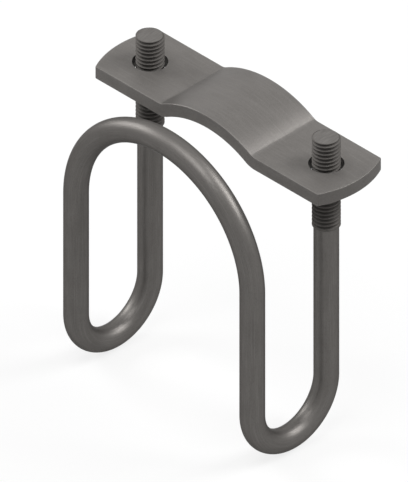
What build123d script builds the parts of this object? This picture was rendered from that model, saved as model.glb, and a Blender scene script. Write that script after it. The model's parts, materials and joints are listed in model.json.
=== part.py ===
from build123d import *
from math import sqrt
import os

os.makedirs("parts", exist_ok=True)

# Double pipe clamp
#
# It ties two pipes together where one crosses under the other at a right angle.
# One rod is bent into an arch over the main pipe and two U-bends under the cross pipe,
# and its ends stand up as threaded studs. A saddle plate slips over the studs onto the
# main pipe, and nuts on the studs draw all of it together.
#
# Sizes are in millimetres. +X runs along the cross pipe, +Y along the main pipe towards
# the studs, and +Z up towards their ends. The origin is the centre of the arch seen from
# the front, straight above the middle of the cross pipe.

# Pipes
main_pipe_diameter = 60.3
cross_pipe_diameter = 21.3
main_pipe_play = 0.7  # on the diameter, inside the arch and under the saddle
cross_pipe_play = 0.2  # on the diameter, inside the two U-bends
crossing_gap = 0.1  # between the pipes when each is drawn tight into its bends

# Rod
rod_diameter = 7.1
thread_diameter = 8.0
thread_length = 29.5
stud_end_chamfer = 0.3
stud_projection = 8.95  # of each stud's end above the wing

# Saddle plate
plate_thickness = 4.0
plate_width = 24.7
wing_length = 11.85  # from the middle of the stud hole to the tip of the wing
wing_end_radius = 26.8
stud_hole_play = 1.9  # on the diameter, round the thread
saddle_rise = 4.9  # of the saddle's crown above the wings
saddle_bend_radius = 3.2  # inside the bend from the wing up to the saddle

# Places worked out from the sizes
rod_radius = rod_diameter / 2
main_seat_radius = (main_pipe_diameter + main_pipe_play) / 2
cross_seat_radius = (cross_pipe_diameter + cross_pipe_play) / 2
arch_radius = main_seat_radius + rod_radius
bend_radius = cross_seat_radius + rod_radius
pipe_axis_distance = (main_pipe_diameter + cross_pipe_diameter) / 2 + crossing_gap
bend_drop = pipe_axis_distance - (main_pipe_play + cross_pipe_play) / 2
crown_radius = main_seat_radius + plate_thickness
wing_underside = main_seat_radius - saddle_rise
stud_top = wing_underside + plate_thickness + stud_projection
stud_places = [(-arch_radius, bend_radius), (arch_radius, bend_radius)]
stud_hole_radius = (thread_diameter + stud_hole_play) / 2
plate_length = 2 * (arch_radius + wing_length)
wing_end_depth = wing_end_radius - sqrt(wing_end_radius**2 - (plate_width / 2) ** 2)
wing_corner = plate_length / 2 - wing_end_depth


# The rod follows one line: down from the left stud's end, round the left U-bend to the
# front, over the arch, round the right U-bend to the back and up the right stud.
with BuildPart() as double_u_bolt:
    with BuildLine() as centre_line:
        left_stud = Line(
            (-arch_radius, bend_radius, stud_top),
            (-arch_radius, bend_radius, -bend_drop),
        )
        left_bend = ThreePointArc(
            left_stud @ 1,
            (-arch_radius, 0, -bend_drop - bend_radius),
            (-arch_radius, -bend_radius, -bend_drop),
        )
        Line(left_bend @ 1, (-arch_radius, -bend_radius, 0))
        mirror(about=Plane.YZ)
        ThreePointArc(
            (-arch_radius, -bend_radius, 0),
            (0, -bend_radius, arch_radius),
            (arch_radius, -bend_radius, 0),
        )
    with BuildSketch(Plane(origin=left_stud @ 0, z_dir=left_stud % 0)):
        Circle(rod_radius)
    sweep(path=centre_line.wire())

    # Rolling the thread raises the metal, so the threaded ends are thicker than the rod
    with BuildSketch(Plane.XY.offset(stud_top)):
        with Locations(*stud_places):
            Circle(thread_diameter / 2)
    extrude(amount=-thread_length)
    chamfer(double_u_bolt.edges().group_by(Axis.Z)[-1], stud_end_chamfer)

double_u_bolt.part.label = "double_u_bolt"
export_step(double_u_bolt.part, "parts/double_u_bolt.step")


# The plate is a flat strip with its middle pressed up into an arc about the main pipe
with BuildPart() as saddle_plate:
    # The strip seen along the pipe: two wings and the crown, joined by round bends
    with BuildSketch(Plane.XZ.offset(-bend_radius)) as section:
        with Locations((0, wing_underside)):
            Rectangle(
                plate_length,
                plate_thickness,
                align=(Align.CENTER, Align.MIN),
            )
        Circle(crown_radius)
        Circle(main_seat_radius, mode=Mode.SUBTRACT)
        with Locations((0, wing_underside)):
            Rectangle(
                plate_length,
                2 * crown_radius,
                align=(Align.CENTER, Align.MAX),
                mode=Mode.SUBTRACT,
            )
        bends = section.vertices().filter_by_position(
            Axis.X, -crown_radius, crown_radius
        )
        fillet(bends.group_by(Axis.Y)[-1], saddle_bend_radius)
        fillet(bends.group_by(Axis.Y)[0], saddle_bend_radius + plate_thickness)
    extrude(amount=plate_width / 2, both=True)

    # The strip seen from above: straight sides, and round ends to the wings
    with BuildSketch(Plane.XY.offset(wing_underside)):
        with BuildLine():
            right_end = RadiusArc(
                (wing_corner, bend_radius - plate_width / 2),
                (wing_corner, bend_radius + plate_width / 2),
                -wing_end_radius,
            )
            mirror(about=Plane.YZ)
            Line(right_end @ 0, (-wing_corner, bend_radius - plate_width / 2))
            Line(right_end @ 1, (-wing_corner, bend_radius + plate_width / 2))
        make_face()
    extrude(amount=plate_thickness + saddle_rise, mode=Mode.INTERSECT)

    with Locations(*[(x, y, wing_underside + plate_thickness) for x, y in stud_places]):
        Hole(stud_hole_radius, plate_thickness)

saddle_plate.part.label = "saddle_plate"
export_step(saddle_plate.part, "parts/saddle_plate.step")
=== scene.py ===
import json
from math import atan2, cos, hypot, pi, radians, sin, sqrt

import bmesh
import bpy
import numpy as np
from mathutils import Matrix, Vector


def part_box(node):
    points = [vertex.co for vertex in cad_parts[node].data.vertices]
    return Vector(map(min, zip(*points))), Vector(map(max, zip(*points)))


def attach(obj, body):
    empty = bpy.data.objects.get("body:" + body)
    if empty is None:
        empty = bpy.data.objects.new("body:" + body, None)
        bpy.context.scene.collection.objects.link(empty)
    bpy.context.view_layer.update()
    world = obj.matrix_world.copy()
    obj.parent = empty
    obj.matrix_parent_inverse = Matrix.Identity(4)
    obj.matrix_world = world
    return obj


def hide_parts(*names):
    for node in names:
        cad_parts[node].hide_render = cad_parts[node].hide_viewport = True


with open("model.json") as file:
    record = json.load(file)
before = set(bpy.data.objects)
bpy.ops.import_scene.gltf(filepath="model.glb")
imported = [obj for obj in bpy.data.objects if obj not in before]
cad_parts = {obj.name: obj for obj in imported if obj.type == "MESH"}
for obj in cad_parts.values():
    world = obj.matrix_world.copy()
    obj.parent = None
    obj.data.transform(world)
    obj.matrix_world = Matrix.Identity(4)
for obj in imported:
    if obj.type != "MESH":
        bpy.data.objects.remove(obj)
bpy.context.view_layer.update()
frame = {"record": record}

# Double pipe clamp
#
# One steel rod is bent into an arch over the main pipe and two U-bends under the cross
# pipe. Its ends are rolled threads that stand up through a pressed saddle plate.
# Lengths are in metres. +X runs along the cross pipe, +Y along the main pipe towards the
# studs and +Z up. The origin is the centre of the arch seen from the front.

MM = 0.001

# Sizes that the solids and their mounts give
mounts = {mount["name"]: mount for mount in frame["record"]["mounts"]}
rod_low, rod_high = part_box("double_u_bolt")
plate_low, plate_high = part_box("saddle_plate")
stud_x, stud_y, _ = mounts["right_stud"]["pos_m"]
thread_radius = mounts["right_stud"]["dims"]["r_mm"] * MM
main_seat_radius = mounts["main_pipe"]["dims"]["r_mm"] * MM
bend_drop = -mounts["cross_pipe"]["pos_m"][2]
stud_top = rod_high.z
rod_radius = stud_x - main_seat_radius
arch_radius = stud_x
bend_radius = stud_y
wing_top = mounts["right_nut_seat"]["pos_m"][2]
wing_underside = plate_low.z
plate_thickness = wing_top - wing_underside
half_length = plate_high.x
half_width = (plate_high.y - plate_low.y) / 2

# Sizes of the threads
tip_chamfer = 0.3 * MM
thread_length = mounts["right_stud"]["dims"]["length_mm"] * MM + tip_chamfer
thread_pitch = 1.25 * MM
thread_depth = 0.68 * MM
crest_flat = 1 / 8  # of the pitch
root_flat = 1 / 4  # of the pitch
flank_curve = 0.3  # how far the flanks bend from straight, 0, towards an S, 1
thread_runout = 1.1 * MM  # in which the groove ends, above the shoulder
shoulder_height = 0.3 * MM
shoulder_start = thread_length - shoulder_height  # from the tip

# Sizes of the plate
stud_hole_radius = 4.95 * MM
wing_end_radius = 26.8 * MM
saddle_bend_radius = 3.2 * MM
plate_edge_rounding = 0.2 * MM
hole_edge_share = 0.4  # of that rounding


def smooth_step(share):
    """0 up to 0, 1 from 1 on, and a soft rise in between."""
    share = np.clip(share, 0, 1)
    return share * share * (3 - 2 * share)


def set_attribute(mesh, name, values):
    """Stores a number or a vector for each vertex of the mesh."""
    kind, field = ("FLOAT_VECTOR", "vector") if values.ndim == 2 else ("FLOAT", "value")
    attribute = mesh.attributes.new(name, kind, "POINT")
    attribute.data.foreach_set(field, values.astype(np.float32).ravel())


# The rod

# How finely its mesh is divided
rod_sides = 72
rows_per_pitch = 20
shoulder_rows = 7
stud_rows = 12
bend_rows = 80
leg_rows = 10
half_arch_rows = 60
end_rings = np.array([0.2, 0.45, 0.7, 0.88, 0.97])  # on the flat ends, of their radius

# Lengths along its centre line
stud_run = stud_top + bend_drop
bend_run = pi * bend_radius
leg_run = bend_drop
arch_run = pi * arch_radius
rod_half = stud_run + bend_run + leg_run + arch_run / 2


def rod_line(distance):
    """Point and direction of the rod's centre line, from the end of the left stud."""
    if distance > rod_half:
        point, direction = rod_line(2 * rod_half - distance)
        return point * Vector((-1, 1, 1)), direction * Vector((1, -1, -1))
    if distance <= stud_run:
        return Vector((-stud_x, stud_y, stud_top - distance)), Vector((0, 0, -1))
    distance -= stud_run
    if distance <= bend_run:
        turn = distance / bend_radius
        point = (-stud_x, bend_radius * cos(turn), -bend_drop - bend_radius * sin(turn))
        return Vector(point), Vector((0, -sin(turn), -cos(turn)))
    distance -= bend_run
    if distance <= leg_run:
        return Vector((-stud_x, -bend_radius, distance - bend_drop)), Vector((0, 0, 1))
    turn = (distance - leg_run) / arch_radius
    point = (-arch_radius * cos(turn), -bend_radius, arch_radius * sin(turn))
    return Vector(point), Vector((sin(turn), 0, cos(turn)))


def rod_rows():
    """Places of the mesh's rows along the whole rod, closest together on the threads."""
    bend_end = stud_run + bend_run
    half_rows = np.concatenate([
        np.arange(0, shoulder_start, thread_pitch / rows_per_pitch),
        np.linspace(shoulder_start, thread_length, shoulder_rows),
        np.linspace(thread_length + shoulder_height, stud_run, stud_rows),
        np.linspace(stud_run, bend_end, bend_rows)[1:-1],
        np.linspace(bend_end, bend_end + leg_run, leg_rows),
        np.linspace(bend_end + leg_run, rod_half, half_arch_rows)[1:],
    ])
    return np.concatenate([half_rows, 2 * rod_half - half_rows[-2::-1]])


def rod_frames(rows):
    """The centre of each row and two directions across the rod there, without a twist."""
    centres, across, beside = [], [], []
    sideways = Vector((1, 0, 0))
    before = rod_line(0)[1]
    for distance in rows:
        point, direction = rod_line(distance)
        sideways = before.rotation_difference(direction) @ sideways
        before = direction
        centres.append(point)
        across.append(sideways.copy())
        beside.append(direction.cross(sideways))
    return (np.array(part)[:, None] for part in (centres, across, beside))


def threaded_radius(from_tip, turn):
    """Radius of a threaded end, and how deep in the groove each point is, from 0 to 1."""
    # In pitches, from the middle of a crest, 0, to the middle of a root, 0.5
    phase = (stud_top - from_tip) / thread_pitch - turn
    from_crest = 0.5 - np.abs(phase % 1 - 0.5)
    flank_start, flank_end = crest_flat / 2, 0.5 - root_flat / 2
    flank = np.clip((from_crest - flank_start) / (flank_end - flank_start), 0, 1)
    groove = (1 - flank_curve) * flank + flank_curve * smooth_step(flank)
    groove *= smooth_step((shoulder_start - from_tip) / thread_runout)
    chamfered = thread_radius - tip_chamfer + from_tip
    radius = np.minimum(thread_radius - thread_depth * groove, chamfered)
    past_shoulder = smooth_step((from_tip - thread_length) / shoulder_height + 1)
    return radius + (rod_radius - radius) * past_shoulder, groove


def tube_faces(count):
    """A quad between each four points of the rows, and a fan of triangles on each end."""
    number = np.arange(count * rod_sides).reshape(count, rod_sides)
    following = np.roll(number, -1, axis=1)
    quads = np.stack([number[:-1], following[:-1], following[1:], number[1:]], axis=-1)
    first_middle, last_middle = count * rod_sides, count * rod_sides + 1
    faces = quads.reshape(-1, 4).tolist()
    faces += [(first_middle, after, here) for here, after in zip(number[0], following[0])]
    faces += [(here, after, last_middle) for here, after in zip(number[-1], following[-1])]
    return faces


def build_rod():
    """The rod as one tube, whose rows follow the centre line from stud end to stud end."""
    rows = rod_rows()
    # The flat ends are rings that shrink towards their middle
    shrink = np.concatenate([end_rings, np.ones(len(rows)), end_rings[::-1]])
    ring_count = len(end_rings)
    rows = np.concatenate([np.zeros(ring_count), rows, np.full(ring_count, 2 * rod_half)])

    centres, across, beside = rod_frames(rows)
    angle = np.linspace(0, 2 * pi, rod_sides, endpoint=False)[None, :, None]
    outward = across * np.cos(angle) + beside * np.sin(angle)
    from_tip = np.minimum(rows, 2 * rod_half - rows)[:, None]
    turn = np.arctan2(outward[..., 1], outward[..., 0]) / (2 * pi)
    radius, groove = threaded_radius(from_tip, turn)
    plain = from_tip > thread_length
    radius = np.where(plain, rod_radius, radius) * shrink[:, None]
    groove = np.where(plain, 0, groove) * (shrink[:, None] == 1)
    points = centres + outward * radius[..., None]

    # Where each point lay on the straight rod, in millimetres, which the finish follows
    straight = np.stack([
        radius * np.cos(angle[..., 0]) / MM,
        radius * np.sin(angle[..., 0]) / MM,
        np.broadcast_to(rows[:, None] / MM, radius.shape),
    ], axis=-1)

    # The last two points are the middles of the ends
    points = np.concatenate([points.reshape(-1, 3), centres[0], centres[-1]])
    middles = [[0, 0, 0], [0, 0, 2 * rod_half / MM]]

    mesh = bpy.data.meshes.new("double_u_bolt_rod")
    mesh.from_pydata(points, [], tube_faces(len(rows)))
    mesh.shade_smooth()
    cut_end = np.broadcast_to((shrink < 1)[:, None], radius.shape).ravel()
    threaded = np.broadcast_to(from_tip < shoulder_start, radius.shape).ravel()
    set_attribute(mesh, "straight", np.concatenate([straight.reshape(-1, 3), middles]))
    set_attribute(mesh, "groove", np.append(groove.ravel(), [0, 0]))
    set_attribute(mesh, "threaded", np.append(threaded & ~cut_end, [0, 0]))
    set_attribute(mesh, "cut_end", np.append(cut_end, [1, 1]))
    return mesh


# The saddle plate

# How finely its mesh is divided
width_shares = np.array([-1, -0.94, -0.8, -0.55, -0.3, 0, 0.3, 0.55, 0.8, 0.94, 1])
depth_shares = np.array([-1, -0.7, 0, 0.7, 1])
half_crown_rows = 25
strip_bend_rows = 13
wing_side_points = 25
wing_end_points = 25
ring_shares = [0, 0.07, 0.2, 0.4, 0.6, 0.8, 0.93, 1]  # of the way out from a stud hole
edge_steps = 3
weld_distance = 0.001 * MM
least_edge_angle = radians(40)  # between faces that meet in an edge to be rounded
hole_edge_reach = 1.01 * stud_hole_radius  # within which an edge belongs to the hole

# How far its marks reach
worn_reach = 0.6 * MM  # from an edge
cut_reach = 0.02 * MM  # from a sheared end or hole

# Places on it
middle_radius = main_seat_radius + plate_thickness / 2
bend_centre_radius = main_seat_radius + plate_thickness + saddle_bend_radius
bend_centre_z = wing_top + saddle_bend_radius
bend_centre_x = sqrt(bend_centre_radius**2 - bend_centre_z**2)
saddle_half_angle = atan2(bend_centre_x, bend_centre_z)
strip_bend_radius = saddle_bend_radius + plate_thickness / 2
crown_run = saddle_half_angle * middle_radius
strip_bend_run = saddle_half_angle * strip_bend_radius
wing_start = crown_run + strip_bend_run
wing_end_centre = half_length - wing_end_radius
wing_end_half_angle = atan2(half_width, sqrt(wing_end_radius**2 - half_width**2))


def strip_point(run, depth):
    """X and Z of a point of the right half: run along the strip, depth above its middle."""
    if run <= crown_run:
        angle = run / middle_radius
        radius = middle_radius + depth
        return radius * sin(angle), radius * cos(angle)
    if run <= wing_start:
        angle = (wing_start - run) / strip_bend_radius
        radius = strip_bend_radius - depth
        return bend_centre_x - radius * sin(angle), bend_centre_z - radius * cos(angle)
    return bend_centre_x + run - wing_start, wing_top - plate_thickness / 2 + depth


def flat_strip(points):
    """Where points of the plate lay on the flat strip: along it, across it and in depth."""
    x, y, z = np.abs(points[:, 0]), points[:, 1] - stud_y, points[:, 2]
    crown_angle = np.arctan2(x, z)
    bend_angle = np.arctan2(bend_centre_x - x, bend_centre_z - z)
    on_crown = crown_angle < saddle_half_angle
    on_wing = x > bend_centre_x
    run = wing_start - bend_angle * strip_bend_radius
    run = np.where(on_crown, crown_angle * middle_radius, run)
    run = np.where(on_wing, wing_start + x - bend_centre_x, run)
    depth = strip_bend_radius - np.hypot(bend_centre_x - x, bend_centre_z - z)
    depth = np.where(on_crown, np.hypot(x, z) - middle_radius, depth)
    depth = np.where(on_wing, z - wing_top + plate_thickness / 2, depth)
    return np.stack([run * np.sign(points[:, 0]), y, depth], axis=-1)


def wing_outline(widths):
    """The right wing seen from above, as points round it and how many are on its walls."""
    corner = wing_end_centre + wing_end_radius * cos(wing_end_half_angle)
    along = np.linspace(bend_centre_x, corner, wing_side_points)
    swing = np.linspace(-wing_end_half_angle, wing_end_half_angle, wing_end_points)
    outline = [(x, -half_width) for x in along]
    outline += [
        (wing_end_centre + wing_end_radius * cos(angle), wing_end_radius * sin(angle))
        for angle in swing[1:-1]
    ]
    outline += [(x, half_width) for x in along[::-1]]
    on_walls = len(outline)
    outline += [(bend_centre_x, width) for width in widths[-2::-1]]
    return np.array(outline), on_walls


def add_grid(plate, grid):
    """Adds a grid of points, given as rows of vectors, with a quad between each four."""
    corners = [[plate.verts.new(point) for point in row] for row in grid]
    for low, high in zip(corners, corners[1:]):
        for here in range(len(low) - 1):
            plate.faces.new((low[here], low[here + 1], high[here + 1], high[here]))


def add_saddle(plate, widths, depths):
    """Adds the faces and the side walls of the saddle and of the bends beside it."""
    half_runs = np.concatenate([
        np.linspace(0, crown_run, half_crown_rows),
        np.linspace(crown_run, wing_start, strip_bend_rows)[1:],
    ])
    runs = np.concatenate([-half_runs[:0:-1], half_runs])

    def placed(run, width, depth):
        x, z = strip_point(abs(run), depth)
        return (x if run >= 0 else -x, stud_y + width, z)

    for depth in depths[[0, -1]]:
        add_grid(plate, [[placed(run, width, depth) for width in widths] for run in runs])
    for width in widths[[0, -1]]:
        add_grid(plate, [[placed(run, width, depth) for depth in depths] for run in runs])


def add_wing(plate, side, widths, depths):
    """Adds the faces and walls of the right wing, where side is 1, or the left, -1."""
    outline, on_walls = wing_outline(widths)
    bearings = np.arctan2(outline[:, 1], outline[:, 0] - stud_x)
    hole = stud_hole_radius * np.stack([np.cos(bearings), np.sin(bearings)], axis=-1)
    hole += (stud_x, 0)

    def placed(point, depth):
        return (side * point[0], stud_y + point[1], wing_top - plate_thickness / 2 + depth)

    # Each face is rings of quads between the stud hole and the outline
    rings = [hole + (outline - hole) * share for share in ring_shares]
    for depth in depths[[0, -1]]:
        add_grid(plate, [[placed(point, depth) for point in ring] for ring in rings])
    for wall in (hole, outline[:on_walls]):
        add_grid(plate, [[placed(point, depth) for point in wall] for depth in depths])


def sharp_plate():
    """The plate as grids of quads over its faces and walls, welded to one closed mesh."""
    widths = half_width * width_shares
    depths = plate_thickness / 2 * depth_shares
    plate = bmesh.new()
    add_saddle(plate, widths, depths)
    for side in (-1, 1):
        add_wing(plate, side, widths, depths)
    bmesh.ops.remove_doubles(plate, verts=plate.verts, dist=weld_distance)
    bmesh.ops.recalc_face_normals(plate, faces=plate.faces)
    return plate


def rounded_mesh(plate):
    """The plate's mesh with its edges rounded, those of the punched holes less."""
    rounding_share = plate.edges.layers.float.new("bevel_weight_edge")
    for edge in plate.edges:
        if edge.calc_face_angle(0) > least_edge_angle:
            x, y, _ = edge.verts[0].co
            at_hole = hypot(abs(x) - stud_x, y - stud_y) < hole_edge_reach
            edge[rounding_share] = hole_edge_share if at_hole else 1.0

    sharp = bpy.data.meshes.new("saddle_plate_sharp")
    plate.to_mesh(sharp)
    plate.free()
    sharp.shade_smooth()
    blank = bpy.data.objects.new("saddle_plate_blank", sharp)
    bpy.context.scene.collection.objects.link(blank)
    rounding = blank.modifiers.new("rounding", "BEVEL")
    rounding.width = plate_edge_rounding
    rounding.segments = edge_steps
    rounding.limit_method = "WEIGHT"
    rounding.harden_normals = True
    rounded = blank.evaluated_get(bpy.context.evaluated_depsgraph_get())
    mesh = bpy.data.meshes.new_from_object(rounded)
    mesh.name = "saddle_plate_strip"
    bpy.data.objects.remove(blank)
    bpy.data.meshes.remove(sharp)
    return mesh


def build_plate():
    """The saddle plate, marked with what its finish follows."""
    mesh = rounded_mesh(sharp_plate())
    flat = np.empty(len(mesh.vertices) * 3, np.float32)
    mesh.vertices.foreach_get("co", flat)
    flat = flat_strip(flat.reshape(-1, 3))
    wing_x = bend_centre_x + np.abs(flat[:, 0]) - wing_start
    to_side = half_width - np.abs(flat[:, 1])
    to_end = wing_end_radius - np.hypot(wing_x - wing_end_centre, flat[:, 1])
    to_hole = np.hypot(wing_x - stud_x, flat[:, 1]) - stud_hole_radius
    to_cut = np.minimum(to_end, to_hole)
    to_wall = np.minimum(to_side, to_cut)
    to_face = plate_thickness / 2 - np.abs(flat[:, 2])
    to_edge = np.hypot(to_wall, to_face) - plate_edge_rounding
    # The press burnishes the faces of the crown, and less and less of the bends beside it
    past_crown = (np.abs(flat[:, 0]) - crown_run) / strip_bend_run
    on_face = 1 - smooth_step(to_face / plate_edge_rounding)
    set_attribute(mesh, "straight", flat / MM)
    set_attribute(mesh, "edge", 1 - smooth_step(to_edge / worn_reach))
    set_attribute(mesh, "sheared", (to_cut < cut_reach).astype(float))
    set_attribute(mesh, "burnished", on_face * (1 - smooth_step(past_crown)))
    return mesh


# Finishes

rod_colour = (0.131, 0.124, 0.1175, 1)
rod_scale_colour = (0.1155, 0.109, 0.103, 1)
plate_colour = (0.155, 0.1463, 0.1384, 1)
plate_scale_colour = (0.1375, 0.1296, 0.1224, 1)
bright_colour = (0.215, 0.206, 0.197, 1)
thread_colour = (0.110, 0.1035, 0.0975, 1)
# Dark colour of the pits and the sheared ends, also used for the painted shade in the
# grooves of the threads
dark_mark_and_groove_shade_colour = (0.066, 0.0615, 0.0575, 1)

# Shares of the surface that show bare metal: the rest is thin scale, which isn't metallic
rod_bare_share = 0.8
plate_bare_share = 0.6

# These dull the gleam that bare metal has where it is seen edge-on
rod_edge_tint = (0.27, 0.27, 0.27, 1)
plate_edge_tint = (0.5, 0.5, 0.5, 1)

# Roughness, from the barest metal to the thickest scale, and of the worked places
rod_roughness = (0.40, 0.46)
plate_roughness = (0.56, 0.63)
burnished_roughness = 0.4
thread_roughness = 0.7
sawn_roughness = 0.5
sheared_roughness = 0.6

# The range that each mark takes of its noise or stored number, and how strong it gets
mottle_range = (0.3, 0.7)
line_range = (0.5, 0.72)
line_brightness = (0, 0.3)
pit_range = (0.5, 0.3)
pit_darkness = (0, 0.45)
wear_range = (0.35, 0.65)
wear_brightness = (0, 0.3)
saw_mark_range = (0.4, 0.65)
saw_mark_brightness = (0.05, 0.55)
# Range of the groove depth that takes the painted shade
groove_shade_range = (0.3, 1)
sheared_darkness = 0.35

# Sizes of the marks in millimetres, in the directions of the straight rod or flat strip
saw_mark_size = (0.24, 4.0, 4.0)
shear_mark_size = (0.2, 0.2, 2.0)

# How many times each noise repeats at half its size, and how strong the repeats are
noise_detail = 3.0
noise_roughness = 0.55

# Depth of the relief, and of the saw and shear marks as multiples of it
relief_height = 0.02 * MM
relief_strength = 0.45
saw_mark_height = 3.0
shear_mark_height = 2.5


def add(tree, kind, inputs=None, **settings):
    """Adds a node, and gives its inputs plain values or links them to other nodes."""
    node = tree.nodes.new(kind)
    for name, value in settings.items():
        setattr(node, name, value)
    for name, value in (inputs or {}).items():
        if isinstance(value, bpy.types.NodeSocket):
            tree.links.new(value, node.inputs[name])
        else:
            node.inputs[name].default_value = value
    return node


def noise(tree, place, size):
    """Noise that runs from 0 to 1, with a size in millimetres for each direction."""
    scaled = add(tree, "ShaderNodeVectorMath", {0: place, 1: size}, operation="DIVIDE")
    texture = add(
        tree,
        "ShaderNodeTexNoise",
        {
            "Vector": scaled.outputs["Vector"],
            "Scale": 1.0,
            "Detail": noise_detail,
            "Roughness": noise_roughness,
        },
    )
    return texture.outputs["Fac"]


def remap(tree, value, between, onto=(0, 1)):
    """A value between two numbers, taken to between two others."""
    node = add(
        tree,
        "ShaderNodeMapRange",
        {
            "Value": value,
            "From Min": between[0],
            "From Max": between[1],
            "To Min": onto[0],
            "To Max": onto[1],
        },
    )
    return node.outputs["Result"]


def combine(tree, operation, first, second):
    """Two numbers added, multiplied or compared, as the operation says."""
    node = add(tree, "ShaderNodeMath", {0: first, 1: second}, operation=operation)
    return node.outputs["Value"]


def mix(tree, share, first, second, kind="RGBA"):
    """The first colour, or the first number if kind is FLOAT, with a share of the second."""
    node = add(tree, "ShaderNodeMix", data_type=kind)
    sockets = [socket for socket in node.inputs if socket.enabled]
    for socket, value in zip(sockets, (share, first, second)):
        if isinstance(value, bpy.types.NodeSocket):
            tree.links.new(value, socket)
        else:
            socket.default_value = value
    return next(socket for socket in node.outputs if socket.enabled)


class Steel:
    """Dark steel, part bare and part under thin scale, with fine lines along its length."""

    def __init__(
        self,
        name,
        colour,
        scale_colour,
        bare_share,
        edge_tint,
        roughness,
        mottle_size,
        line_size,
        grain_size,
    ):
        self.material = bpy.data.materials.new(name)
        self.material.use_nodes = True
        self.tree = tree = self.material.node_tree
        self.shader = tree.nodes["Principled BSDF"]
        self.shader.inputs["Metallic"].default_value = bare_share
        self.shader.inputs["Specular Tint"].default_value = edge_tint
        attribute = add(tree, "ShaderNodeAttribute", attribute_name="straight")
        self.place = attribute.outputs["Vector"]
        mottle = noise(tree, self.place, mottle_size)
        lines = noise(tree, self.place, line_size)
        self.grain = noise(tree, self.place, grain_size)
        self.colour = mix(tree, remap(tree, mottle, mottle_range), colour, scale_colour)
        self.tint(remap(tree, lines, line_range, line_brightness), bright_colour)
        self.tint(remap(tree, self.grain, pit_range, pit_darkness), dark_mark_and_groove_shade_colour)
        self.roughness = remap(tree, mottle, mottle_range, roughness)
        self.height = combine(tree, "ADD", lines, self.grain)

    def mask(self, name, between=(0, 1)):
        """A number stored on the mesh, as a share from 0 to 1 between two of its values."""
        stored = add(self.tree, "ShaderNodeAttribute", attribute_name=name).outputs["Fac"]
        return remap(self.tree, stored, between)

    def product(self, first, second):
        """Two numbers multiplied."""
        return combine(self.tree, "MULTIPLY", first, second)

    def tint(self, share, colour):
        """Gives a share of the surface another colour."""
        self.colour = mix(self.tree, share, self.colour, colour)

    def roughen(self, share, roughness):
        """Gives a share of the surface another roughness."""
        self.roughness = mix(self.tree, share, self.roughness, roughness, "FLOAT")

    def emboss(self, share, height):
        """Gives a share of the surface another relief."""
        self.height = mix(self.tree, share, self.height, height, "FLOAT")

    def finished(self):
        """The material, with its colour, roughness and relief on the shader."""
        relief = add(
            self.tree,
            "ShaderNodeBump",
            {"Strength": relief_strength, "Distance": relief_height, "Height": self.height},
        )
        self.tree.links.new(self.colour, self.shader.inputs["Base Color"])
        self.tree.links.new(self.roughness, self.shader.inputs["Roughness"])
        self.tree.links.new(relief.outputs["Normal"], self.shader.inputs["Normal"])
        return self.material


def rod_finish():
    """Drawn rod: painted shade darkens the grooves of the threads, and the ends are sawn."""
    steel = Steel(
        "drawn_steel",
        colour=rod_colour,
        scale_colour=rod_scale_colour,
        bare_share=rod_bare_share,
        edge_tint=rod_edge_tint,
        roughness=rod_roughness,
        mottle_size=(3.2, 3.2, 9.0),
        line_size=(0.22, 0.22, 14.0),
        grain_size=(0.12, 0.12, 0.5),
    )
    threaded = steel.mask("threaded")
    steel.tint(threaded, thread_colour)
    steel.roughen(threaded, thread_roughness)
    # Painted shade: the grooves of the threads are darkened, deeper in the groove more
    steel.tint(steel.mask("groove", groove_shade_range), dark_mark_and_groove_shade_colour)
    sawn = steel.mask("cut_end")
    saw_marks = noise(steel.tree, steel.place, saw_mark_size)
    marked = remap(steel.tree, saw_marks, saw_mark_range, saw_mark_brightness)
    steel.tint(steel.product(sawn, marked), bright_colour)
    steel.emboss(sawn, steel.product(saw_marks, saw_mark_height))
    steel.roughen(sawn, sawn_roughness)
    return steel.finished()


def plate_finish():
    """Pressed flat bar: a burnished crown, edges rubbed brighter, sheared ends and holes."""
    steel = Steel(
        "rolled_steel",
        colour=plate_colour,
        scale_colour=plate_scale_colour,
        bare_share=plate_bare_share,
        edge_tint=plate_edge_tint,
        roughness=plate_roughness,
        mottle_size=(7.0, 4.0, 4.0),
        line_size=(9.0, 0.3, 0.3),
        grain_size=(0.35, 0.18, 0.18),
    )
    steel.roughen(steel.mask("burnished"), burnished_roughness)
    edge = steel.mask("edge")
    rubbed = remap(steel.tree, steel.grain, wear_range, wear_brightness)
    steel.tint(steel.product(edge, rubbed), bright_colour)
    sheared = steel.mask("sheared")
    shear_marks = noise(steel.tree, steel.place, shear_mark_size)
    steel.tint(steel.product(sheared, sheared_darkness), dark_mark_and_groove_shade_colour)
    steel.emboss(sheared, steel.product(shear_marks, shear_mark_height))
    steel.roughen(sheared, sheared_roughness)
    return steel.finished()


# The two pieces

def show(name, mesh, material, node):
    """Puts a piece into the scene in place of its solid."""
    mesh.materials.clear()
    mesh.materials.append(material)
    piece = bpy.data.objects.new(name, mesh)
    bpy.context.scene.collection.objects.link(piece)
    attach(piece, "root")
    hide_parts(node)


show("bent_rod", build_rod(), rod_finish(), "double_u_bolt")
show("pressed_saddle", build_plate(), plate_finish(), "saddle_plate")


# Floor and surroundings

floor_size = 6.0
floor_gap = 0.02 * MM
floor_colour = (0.88, 0.88, 0.88, 1)
floor_whiteness = 0.8  # share of the floor's look that shadows leave alone
surroundings_level = 0.1
white = (1, 1, 1, 1)


def seen_directly(tree):
    """1 for what the camera sees, straight, in a reflection or through glass, else 0."""
    path = add(tree, "ShaderNodeLightPath")
    seen = path.outputs["Is Camera Ray"]
    for ray in ("Is Glossy Ray", "Is Transmission Ray"):
        seen = combine(tree, "MAXIMUM", seen, path.outputs[ray])
    return seen


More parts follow.
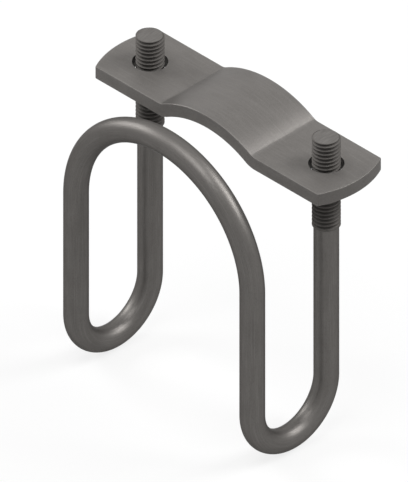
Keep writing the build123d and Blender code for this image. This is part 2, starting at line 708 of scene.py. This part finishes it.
floor_material = bpy.data.materials.new("pale_floor")
floor_material.use_nodes = True
floor_tree = floor_material.node_tree
floor_tree.nodes.clear()
matt = add(floor_tree, "ShaderNodeBsdfDiffuse", {"Color": floor_colour})
glow = add(floor_tree, "ShaderNodeEmission", {"Color": white, "Strength": 1.0})
glow_share = combine(floor_tree, "MULTIPLY", seen_directly(floor_tree), floor_whiteness)
floor_look = add(
    floor_tree,
    "ShaderNodeMixShader",
    {0: glow_share, 1: matt.outputs[0], 2: glow.outputs[0]},
)
add(floor_tree, "ShaderNodeOutputMaterial", {"Surface": floor_look.outputs[0]})

half_floor = floor_size / 2
floor_level = rod_low.z - floor_gap
floor_corners = [(-1, -1), (1, -1), (1, 1), (-1, 1)]
floor_mesh = bpy.data.meshes.new("floor")
floor_mesh.from_pydata(
    [(x * half_floor, y * half_floor, floor_level) for x, y in floor_corners],
    [],
    [(0, 1, 2, 3)],
)
floor_mesh.materials.append(floor_material)
floor = bpy.data.objects.new("floor", floor_mesh)
bpy.context.scene.collection.objects.link(floor)

world = bpy.data.worlds.new("surroundings")
bpy.context.scene.world = world
world.use_nodes = True
world_tree = world.node_tree
world_light = world_tree.nodes["Background"]
world_light.inputs["Color"].default_value = white
level = remap(world_tree, seen_directly(world_tree), (0, 1), (surroundings_level, 1))
world_tree.links.new(level, world_light.inputs["Strength"])


# Lamps

lamp_distance = 1.0


def add_lamp(name, towards, size, power):
    """A soft square lamp that shines on the clamp from the given direction."""
    light = bpy.data.lights.new(name, "AREA")
    light.size = size
    light.energy = power
    lamp = bpy.data.objects.new(name, light)
    lamp.location = Vector(towards).normalized() * lamp_distance
    lamp.rotation_euler = Vector(towards).to_track_quat("Z", "Y").to_euler()
    lamp.visible_camera = False
    bpy.context.scene.collection.objects.link(lamp)


add_lamp("back_right", (0.495, 0.522, 0.695), 0.5, 7.7)
add_lamp("left", (-0.84, -0.208, 0.501), 0.45, 5.5)
add_lamp("front_high", (0.009, -0.358, 0.934), 0.55, 4.7)
add_lamp("behind", (-0.577, 0.577, 0.577), 0.9, 0.6)


# Camera: an isometric view from the front right, without perspective

picture_height_px = 482
mm_per_px = 0.27325
aim_right = -9.345 * MM  # of the middle of the picture, from the middle between the U-bends
aim_up = 21.97 * MM
camera_distance = 1.0
nearest_seen = 0.01
furthest_seen = 20.0

back = Vector((1, -1, 1)).normalized()
right = Vector((1, 1, 0)).normalized()
up = back.cross(right)
aim = Vector((0, stud_y, -bend_drop)) + aim_right * right + aim_up * up

camera_data = bpy.data.cameras.new("camera")
camera_data.type = "ORTHO"
camera_data.ortho_scale = picture_height_px * mm_per_px * MM
camera_data.clip_start = nearest_seen
camera_data.clip_end = furthest_seen
camera = bpy.data.objects.new("camera", camera_data)
camera.location = aim + back * camera_distance
camera.rotation_euler = back.to_track_quat("Z", "Y").to_euler()
bpy.context.scene.collection.objects.link(camera)
bpy.context.scene.camera = camera
bpy.context.scene.view_settings.view_transform = "Standard"
